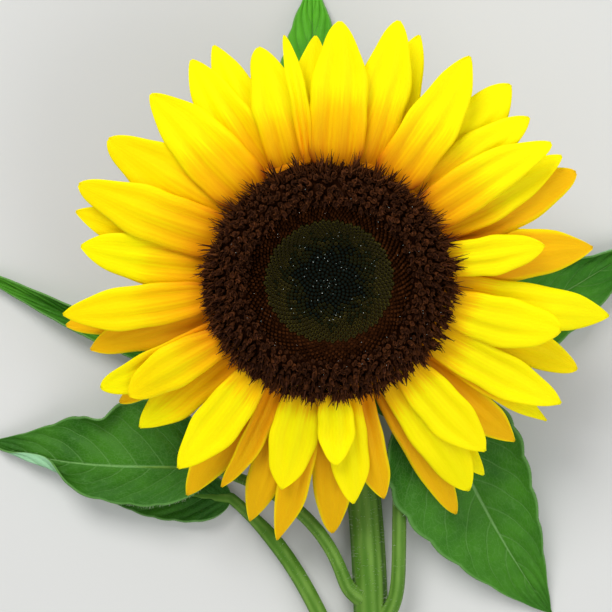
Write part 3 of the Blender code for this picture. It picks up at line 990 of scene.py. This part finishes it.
class SUNFLOWER_OT_disc(bpy.types.Operator):
    """Adds the disc: open florets in the ring, closed buds inside it"""
    bl_idname = "sunflower.disc"
    bl_label = "Disc florets"

    def execute(self, context):
        bloom = context.scene.sunflower_bloom
        draw = random.Random(DISC_SEED)
        skin = [(radius * MM, disc_height(radius * MM) - BED_SINK)
                for radius in (0, *range(2, 34, 2))]
        bed = turned_mesh("disc_bed", skin + BED_RIM)
        brown = soft_finish("bed_brown", (0.02, 0.006, 0.002), (0.03, 0.009, 0.003), gloss=0)
        add_piece("disc_bed", bed, [brown])
        ring = turned_mesh("claw_ring", CLAW_RING)
        orange = soft_finish("claw_orange", (0.42, 0.13, 0.003), (0.62, 0.22, 0.003), gloss=0)
        add_piece("claw_ring", ring, [orange])
        self.add_buds(bloom, draw)
        self.add_young(bloom, draw)
        self.add_florets(bloom, draw)
        self.add_edge(bloom, draw)
        self.add_dew(bloom, draw)
        return {"FINISHED"}

    def add_buds(self, bloom, draw):
        places, shifts = [], []
        for radius, clock, share in golden_places(0, bloom.buds, 0, BUD_RADIUS):
            lean = face_direction(clock, -disc_slope(radius), 1)
            tall = MM * (0.7 + 0.6 * sqrt(share))
            places.append(standing(disc_point(clock, radius, -0.2 * MM), lean, 0.8 * MM,
                                   -clock, tall))
            edge = sqrt(share) + draw.uniform(-0.16, 0.16)
            shifts.append(0 if edge < 0.52 else 2 if edge < 0.72 else 4)
        finishes = []
        for name, cap, share in (("middle", (0.002, 0.005, 0.004), 0.16),
                                 ("between", (0.004, 0.006, 0.002), 0.5),
                                 ("outer", (0.009, 0.007, 0.002), 1.25)):
            finishes.append(tinted("bud_" + name, cap, other=1.6))
            finishes.append(tinted("rim_" + name, bloom.bud_olive, share))
        add_scattered("disc_buds", bud_shape(), places, finishes, shifts,
                      "disc_centre")

    def add_young(self, bloom, draw):
        """The dark band of florets that are about to open."""
        places, tints = [], []
        for radius, clock, share in golden_places(bloom.buds, bloom.young_florets,
                                                  BUD_RADIUS, YOUNG_RADIUS):
            lean = face_direction(clock, -0.8 * disc_slope(radius), 1)
            lean += Vector([draw.uniform(-0.12, 0.12) for _ in range(3)])
            tall = MM * (0.9 + 0.7 * share) * draw.uniform(0.85, 1.15)
            places.append(standing(disc_point(clock, radius, -0.4 * MM), lean.normalized(),
                                   0.86 * MM, draw.uniform(0, 6.3), tall))
            tints.append(draw.randrange(3))
        finishes = [tinted(f"young_{number}", bloom.floret_brown, light, gloss=0.0)
                    for number, light in enumerate((0.45, 0.65, 0.85))]
        add_scattered("disc_young", young_shape(), places, finishes, tints,
                      "disc_ring")

    def add_florets(self, bloom, draw):
        places, tints = ([], []), ([], [])
        first = bloom.buds + bloom.young_florets
        for radius, clock, share in golden_places(first, bloom.open_florets,
                                                  YOUNG_RADIUS, FLORET_RADIUS):
            young = 1 - smooth(0, 0.15, share)
            crowd = crowding(degrees(clock))
            spread = -disc_slope(radius) * (0.9 - 0.5 * crowd)
            spread += (0.5 - 0.4 * crowd) * smooth(0.7, 1, share)
            lean = face_direction(clock, spread, 1)
            lean += Vector([draw.uniform(-0.36, 0.36) for _ in range(3)])
            size = MM * draw.uniform(0.68, 0.95) * (1 - 0.15 * young)
            tall = size * draw.uniform(0.9, 1.5) * (1 - 0.35 * young)
            half = draw.randrange(2)
            root = disc_point(clock, radius * (1 - 0.04 * crowd * share), -0.6 * MM)
            places[half].append(standing(root, lean.normalized(), size,
                                         draw.uniform(0, tau), tall))
            pick = draw.random()**(1.6 - smooth(0.6, 1, share))
            tints[half].append(3 * min(3, int(pick * 4)) * (young < 0.7))
        finishes = [tinted(f"{part}_{number}", colour, light)
                    for number, light in enumerate((0.65, 0.85, 1.1, 1.4))
                    for part, colour in (("cup", bloom.floret_brown),
                                         ("stigma", bloom.floret_red),
                                         ("anther", (0.045, 0.014, 0.006)))]
        for half in (0, 1):
            add_scattered(f"disc_florets_{half}", floret_shape(), places[half], finishes,
                          tints[half], "disc_ring")

    def add_edge(self, bloom, draw):
        places, shifts = [], []
        for _ in range(bloom.edge_scales):
            clock = draw.uniform(0, tau)
            crowd = crowding(degrees(clock))
            notch = draw.random() < 0.35 * crowd
            if notch:
                step = radians(NOTCH_STEP)
                clock = step * round(clock / step) + draw.gauss(0, 0.022)
            clump = noise.noise(Vector((9 * sin(clock), 9 * cos(clock), 0)))
            radius = (draw.uniform(33.2, 34.8) - 1.1 * crowd + 0.6 * clump) * MM
            root = disc_point(clock, radius, draw.uniform(0.8, 2.6) * MM)
            outward = draw.uniform(0.3, 1.8) + 0.7 * crowd + 1.5 * clump + 2 * notch
            lean = face_direction(clock + draw.gauss(0, 0.25), outward, 1)
            tall = MM * draw.uniform(0.5, 0.95) * (1 + 0.8 * max(0, clump) + 0.7 * notch)
            places.append(standing(root, lean, MM * draw.uniform(0.75, 1.4),
                                   draw.uniform(0, tau), tall))
            shifts.append(min(2, int(3.2 * draw.random()**1.5)))
        brown, red = bloom.floret_brown, shade(bloom.floret_red, 0.8)
        finishes = [soft_finish("scale_black", (0.012, 0.004, 0.002), brown, gloss=0.05),
                    tinted("scale_brown", brown, other=1.6),
                    soft_finish("scale_red", red, brown, gloss=0.05)]
        add_scattered("disc_edge", spike_shape(), places, finishes, shifts)

    def add_dew(self, bloom, draw):
        bead = bmesh.new()
        bmesh.ops.create_icosphere(bead, subdivisions=1, radius=1)
        places = []
        for i in range(bloom.dew_drops):
            inner = i < 0.6 * bloom.dew_drops
            radius = (15 * draw.random()**0.6 if inner else draw.uniform(19, 33)) * MM
            above = (1.0 if inner else 2.4 if radius < YOUNG_RADIUS else 3.4) * MM
            spot = disc_point(draw.uniform(0, tau), radius, above)
            size = MM * draw.uniform(0.06, 0.14 if inner else 0.1)
            places.append(standing(spot, Vector((0, 0, 1)), size))
        pale = soft_finish("dew_pale", (0.35, 0.45, 0.42), (0.6, 0.66, 0.6), 900, 0.3)
        add_scattered("disc_dew", template((bead, 0)), places, [pale])


def make_bract(row, i, finish):
    """One bract of a row, and the roots and directions of its bristles."""
    sizes = BRACT_ROWS[row]
    root, height, length, droop = (size * MM for size in sizes[:4])
    slope, narrow = sizes[4:]
    turn = tau * (i + row / 2) / BRACTS_A_ROW
    draw = random.Random(BRACT_SEED + row * BRACTS_A_ROW + i)
    reach = length * draw.uniform(0.9, 1.08)
    bend = droop * draw.uniform(0.7, 1.3)
    swing = draw.uniform(-0.12, 0.12)

    def place(along, across):
        side = across * 2 - 1
        outline = cos(pi / 2 * along**1.6)**0.8
        half = BRACT_WIDTH / 2 * narrow * max(outline, 0.03)
        clock = turn + swing * along * along
        rise = slope * along * reach - bend * along * along
        rise += 0.9 * MM * side * side * outline * (1 if row < 2 else -0.6)
        middle = Vector((sin(clock), cos(clock)))
        sideways = Vector((middle.y, -middle.x)) * side * half
        flat = middle * (root + along * reach) + sideways
        return to_frame(lean_point(flat.x, flat.y, height + rise))

    name = f"bract_{row}_{i:02d}"
    piece = add_piece(name, sheet_mesh(name, *BRACT_GRID, place), [finish])
    thicken(piece, BRACT_THICKNESS)
    return margin_hairs(place, BRACT_HAIRS, draw, 0, 1)


class SUNFLOWER_OT_bracts(bpy.types.Operator):
    """Adds the bloom's green back and its hairy pointed bracts"""
    bl_idname = "sunflower.bracts"
    bl_label = "Back and bracts"

    def execute(self, context):
        greens = context.scene.sunflower_greens
        green = soft_finish("back_green", greens.stem_green, greens.leaf_light, 300)
        add_piece("bloom_back", turned_mesh("bloom_back", BACK_PROFILE), [green],
                  "receptacle")
        face = leaf_finish("bract_green", greens.leaf_green, greens.leaf_light,
                           greens.vein_green, 5.0)
        hairs = []
        for row in range(len(BRACT_ROWS)):
            for i in range(BRACTS_A_ROW):
                hairs += make_bract(row, i, face)
        draw = random.Random(HAIR_SEEDS["back"])
        for _ in range(BACK_HAIRS):
            share, clock = draw.random(), draw.uniform(0, tau)
            radius, height = (8 + 25 * share) * MM, (-21.6 + 15 * share**1.6) * MM
            hairs.append((face_point(clock, radius, height),
                          face_direction(clock, 0.4 + 0.8 * share, -1)))
        add_hairs("bract_hairs", hairs, HAIR_SIZE)
        return {"FINISHED"}


# ---- the stem and its leaves ------------------------------------------------------

class SUNFLOWER_OT_stem(bpy.types.Operator):
    """Adds the ridged, bristly stem with its straight cut"""
    bl_idname = "sunflower.stem"
    bl_label = "Stem"

    def execute(self, context):
        greens = context.scene.sunflower_greens
        runs = [STEM_LENGTH * i / STEM_STEPS for i in range(STEM_STEPS + 1)]
        points = [to_frame(stem_point(run)) for run in runs]

        def radius_at(step, across):
            run = runs[step]
            ridge = 0.13 * MM * cos(tau * greens.ridges * across + 0.6 * sin(run * 30))
            spot = Vector((cos(tau * across), sin(tau * across), run * 40))
            lump = 0.25 * MM * noise.noise(spot)
            return stem_radius(run) - 0.2 * MM + ridge + lump

        mesh = tube_mesh("stem_skin", points, radius_at, STEM_COLUMNS)
        skin = stem_finish("stem_skin", greens.stem_green, greens.stem_light, greens.ridges)
        pith = soft_finish("pith_white", (0.6, 0.66, 0.42), (0.75, 0.78, 0.6), 1200, 0.8)
        piece = add_piece("stem_skin", mesh, [skin, pith], "stem")
        for face in mesh.polygons:
            if len(face.vertices) > 6:
                face.material_index = 1
        draw = random.Random(HAIR_SEEDS["stem"])
        roots = [(points[step] + out * (radius_at(step, turn) - 0.05 * MM), out)
                 for step, turn, out in limb_spots(points, STEM_HAIRS, draw, 4, STEM_STEPS)]
        add_hairs("stem_hairs", roots, HAIR_SIZE)
        return {"FINISHED"}


def bezier(ends, t):
    """Point of a curve with its ends and two handles, t in 0..1."""
    a, b, c, d = ends
    s = 1 - t
    return a * s**3 + b * 3 * s * s * t + c * 3 * s * t * t + d * t**3


def millimetres(points):
    """Points given in millimetres, as vectors in metres."""
    return [Vector(point) * MM for point in points]


def leaf_outline(along):
    """Share of its width that a leaf has, from its broad base to its point."""
    return max(0.0, sin(pi * min(along, 1)**0.62))**0.9


def blade_place(leaf, seed):
    """The rule of one leaf's blade, with wavy, toothed and curled margins."""
    ends = millimetres(leaf["blade"])
    widths = [half * MM for half in leaf["halves"]]
    slope = atan(leaf["fold"])

    def place(along, across):
        side = across * 2 - 1
        middle = bezier(ends, along)
        step = 0.02
        ahead = bezier(ends, min(1, along + step)) - bezier(ends, max(0, along - step))
        sideways = ahead.cross(Vector((0, 0, 1))).normalized()
        share = max(0.02, leaf_outline(along))
        share *= 1 + 0.05 * abs(sin(along * 26 + seed)) * smooth(0.1, 0.3, along)
        right = side > 0
        half = widths[0 if right else 1] * share
        base, extra, centre, spread, *roll = leaf["curls"][0 if right else 1]
        curl = radians(base + extra * exp(-((along - centre) / spread)**2))
        out = up = 0.0
        pieces = 8
        for i in range(pieces):
            spot = abs(side) * (i + 0.5) / pieces
            bend = slope + curl * smooth(*(roll or (0.45, 1.0)), spot)
            out += cos(bend) * abs(side) * half / pieces
            up += sin(bend) * abs(side) * half / pieces
        beat = (along - abs(side)**1.25 * 0.3) * 8.5 + (0.5 if right else 0)
        quilt = 0.35 * MM * cos(tau * beat) * sin(pi * abs(side))
        wave = 0.9 * MM * sin(along * 13 + seed) * side * side * share
        groove = -0.5 * MM * exp(-(side / 0.06)**2)
        rise = up + (quilt + wave + groove) * smooth(0, 0.15, along) * (
            1 - smooth(0.85, 1, along))
        point = middle + sideways * (out if right else -out) + Vector((0, 0, rise))
        point.z = max(point.z, 0.35 * MM)
        return to_frame(point)

    return place


def eased(points, rounds):
    """The route with its corners rounded and its spacing evened, its ends kept."""
    for _ in range(rounds):
        points = [points[0]] + [
            (points[i - 1] + points[i] * 2 + points[i + 1]) / 4
            for i in range(1, len(points) - 1)] + [points[-1]]
    return points


def make_leaf(name, leaf, seed, finishes, skin, thickness):
    """A leaf in place of its node: veined blade, midrib and petiole. It gives the
    roots and directions of the leaf's bristles."""
    place = blade_place(leaf, seed)
    blade = add_piece(name + "_blade", sheet_mesh(name + "_blade", *BLADE_GRID, place),
                      finishes, name)
    thicken(blade, thickness, back_slot=1)
    at = leaf["at"] * MM
    tangent = stem_tangent(at)
    out = Vector(leaf["side"])
    out = (out - tangent * out.dot(tangent)).normalized()
    foot = stem_point(at) + out * 0.25 * stem_radius(at)
    ends = millimetres(leaf["blade"])
    root = stem_point(at) + out * (stem_radius(at) + 0.4 * MM + PETIOLE_COLLAR)
    route = [root, *millimetres(leaf["petiole"]), ends[0]]
    radius = leaf["radius"] * MM
    points = [to_frame(foot)] + [to_frame(bezier(route, i / PETIOLE_STEPS))
                                 for i in range(PETIOLE_STEPS + 1)]
    points = eased(points, PETIOLE_EASING)
    radii = []
    for i in range(PETIOLE_STEPS + 2):
        flare = exp(-(points[i] - points[0]).length / (4.5 * MM))
        slim = 1 - 0.3 * smooth(0.75, 1, i / PETIOLE_STEPS)
        radii.append(radius * slim + (PETIOLE_FOOT * 1.4 - radius) * flare)
    for i in range(1, MIDRIB_STEPS + 1):
        along = 0.9 * i / MIDRIB_STEPS
        sunk = place(along, 0.5) - Vector((0, 0, 0.3 * MM + 0.5 * thickness))
        points.append(sunk)
        radii.append(max(0.25 * MM, radius * (1 - along)**1.3 * 0.75))

    def radius_at(step, across):
        return radii[step] * (1 + 0.05 * cos(6 * (tau * across)))

    stalk = tube_mesh(name + "_stalk", points, radius_at, PETIOLE_COLUMNS)
    piece = add_piece(name + "_stalk", stalk, [skin])
    draw = random.Random(seed)
    roots = [(points[step] + away * radii[step] * 0.95, away) for step, _, away
             in limb_spots(points, PETIOLE_HAIRS, draw, 2, PETIOLE_STEPS)]
    return roots + list(margin_hairs(place, LEAF_HAIRS, draw, 0.05, 0.95))


class SUNFLOWER_OT_leaves(bpy.types.Operator):
    """Adds the leaves with their petioles"""
    bl_idname = "sunflower.leaves"
    bl_label = "Leaves"

    def execute(self, context):
        greens = context.scene.sunflower_greens
        vein, under = greens.vein_green, greens.under_green
        faces = {}
        # Lit and shaded copies of the leaf face, one for each amount of painted light
        for light in sorted({leaf["light"] for leaf in LEAVES.values()}):
            faces[light] = leaf_finish(
                f"leaf_face_{len(faces)}", shade(greens.leaf_green, light),
                shade(greens.leaf_light, light), vein, 1.0)
        back = leaf_finish("leaf_under", under, shade(under, 1.2), shade(vein, 1.5), 2.0,
                           underside=True)
        skin = stem_finish("petiole_skin", greens.stem_green, greens.stem_light, 6)
        hairs = []
        for number, (name, leaf) in enumerate(LEAVES.items()):
            hairs += make_leaf(name, leaf, LEAF_SEED + number,
                               (faces[leaf["light"]], back), skin, greens.leaf_thickness)
        add_hairs("leaf_hairs", hairs, LEAF_HAIR_SIZE)
        return {"FINISHED"}


# ---- the stage --------------------------------------------------------------------

def add_light(name, place, size, power, target):
    """A round area light that faces its target."""
    light = bpy.data.lights.new(name, "AREA")
    light.shape = "DISK"
    light.size = size
    light.energy = power
    obj = bpy.data.objects.new(name, light)
    bpy.context.scene.collection.objects.link(obj)
    obj.location = place
    obj.rotation_euler = (target - place).to_track_quat("-Z", "Y").to_euler()


class SUNFLOWER_OT_stage(bpy.types.Operator):
    """Adds the floor, the lights, the sky and the camera that looks straight down"""
    bl_idname = "sunflower.stage"
    bl_label = "Stage"

    def execute(self, context):
        stage = context.scene.sunflower_stage
        bm = bmesh.new()
        bmesh.ops.create_grid(bm, x_segments=1, y_segments=1, size=FLOOR_SIZE)
        mesh = finished("floor", bm)
        floor = bpy.data.objects.new("floor", mesh)
        floor.location.z = -FLOOR_GAP
        mesh.materials.append(floor_finish(stage.floor_colour))
        context.scene.collection.objects.link(floor)
        bloom = face_point(0, 0, 0)
        add_light("key", bloom + KEY_PLACE, KEY_SIZE, stage.key_power, bloom)
        add_light("fill", bloom + FILL_PLACE, FILL_SIZE, stage.fill_power, bloom)
        world = bpy.data.worlds.new("studio")
        world.use_nodes = True
        sky = world.node_tree.nodes["Background"]
        sky.inputs["Color"].default_value = SKY_COLOUR
        sky.inputs["Strength"].default_value = SKY_STRENGTH
        context.scene.world = world
        lens = bpy.data.cameras.new("camera")
        lens.lens = LENS_LENGTH
        lens.sensor_width = SENSOR_WIDTH
        lens.clip_start = 10 * MM
        camera = bpy.data.objects.new("camera", lens)
        context.scene.collection.objects.link(camera)
        camera.location = to_frame(Vector((*CAMERA_PLACE, stage.camera_height)))
        context.scene.camera = camera
        context.scene.view_settings.view_transform = "Standard"
        return {"FINISHED"}


class SUNFLOWER_PT_panel(bpy.types.Panel):
    """Lists the steps that dress the sunflower"""
    bl_idname = "SUNFLOWER_PT_panel"
    bl_label = "Cut sunflower"
    bl_space_type = "VIEW_3D"
    bl_region_type = "UI"
    bl_category = "Sunflower"

    def draw(self, context):
        scene = context.scene
        for group in (scene.sunflower_bloom, scene.sunflower_greens, scene.sunflower_stage):
            for key in group.__annotations__:
                self.layout.prop(group, key)
        for step in STEPS:
            self.layout.operator(step.bl_idname)


STEPS = (SUNFLOWER_OT_rays, SUNFLOWER_OT_disc, SUNFLOWER_OT_bracts, SUNFLOWER_OT_stem,
         SUNFLOWER_OT_leaves, SUNFLOWER_OT_stage)
GROUPS = {"sunflower_bloom": SunflowerBloom, "sunflower_greens": SunflowerGreens,
          "sunflower_stage": SunflowerStage}


def register():
    for group in GROUPS.values():
        bpy.utils.register_class(group)
    for step in (*STEPS, SUNFLOWER_PT_panel):
        bpy.utils.register_class(step)
    for name, group in GROUPS.items():
        setattr(bpy.types.Scene, name, PointerProperty(type=group))


def unregister():
    for name in GROUPS:
        delattr(bpy.types.Scene, name)
    for step in (*STEPS, SUNFLOWER_PT_panel, *GROUPS.values()):
        bpy.utils.unregister_class(step)


def main():
    register()
    bpy.ops.sunflower.rays()
    bpy.ops.sunflower.disc()
    bpy.ops.sunflower.bracts()
    bpy.ops.sunflower.stem()
    bpy.ops.sunflower.leaves()
    bpy.ops.sunflower.stage()


if __name__ == "__main__":
    main()
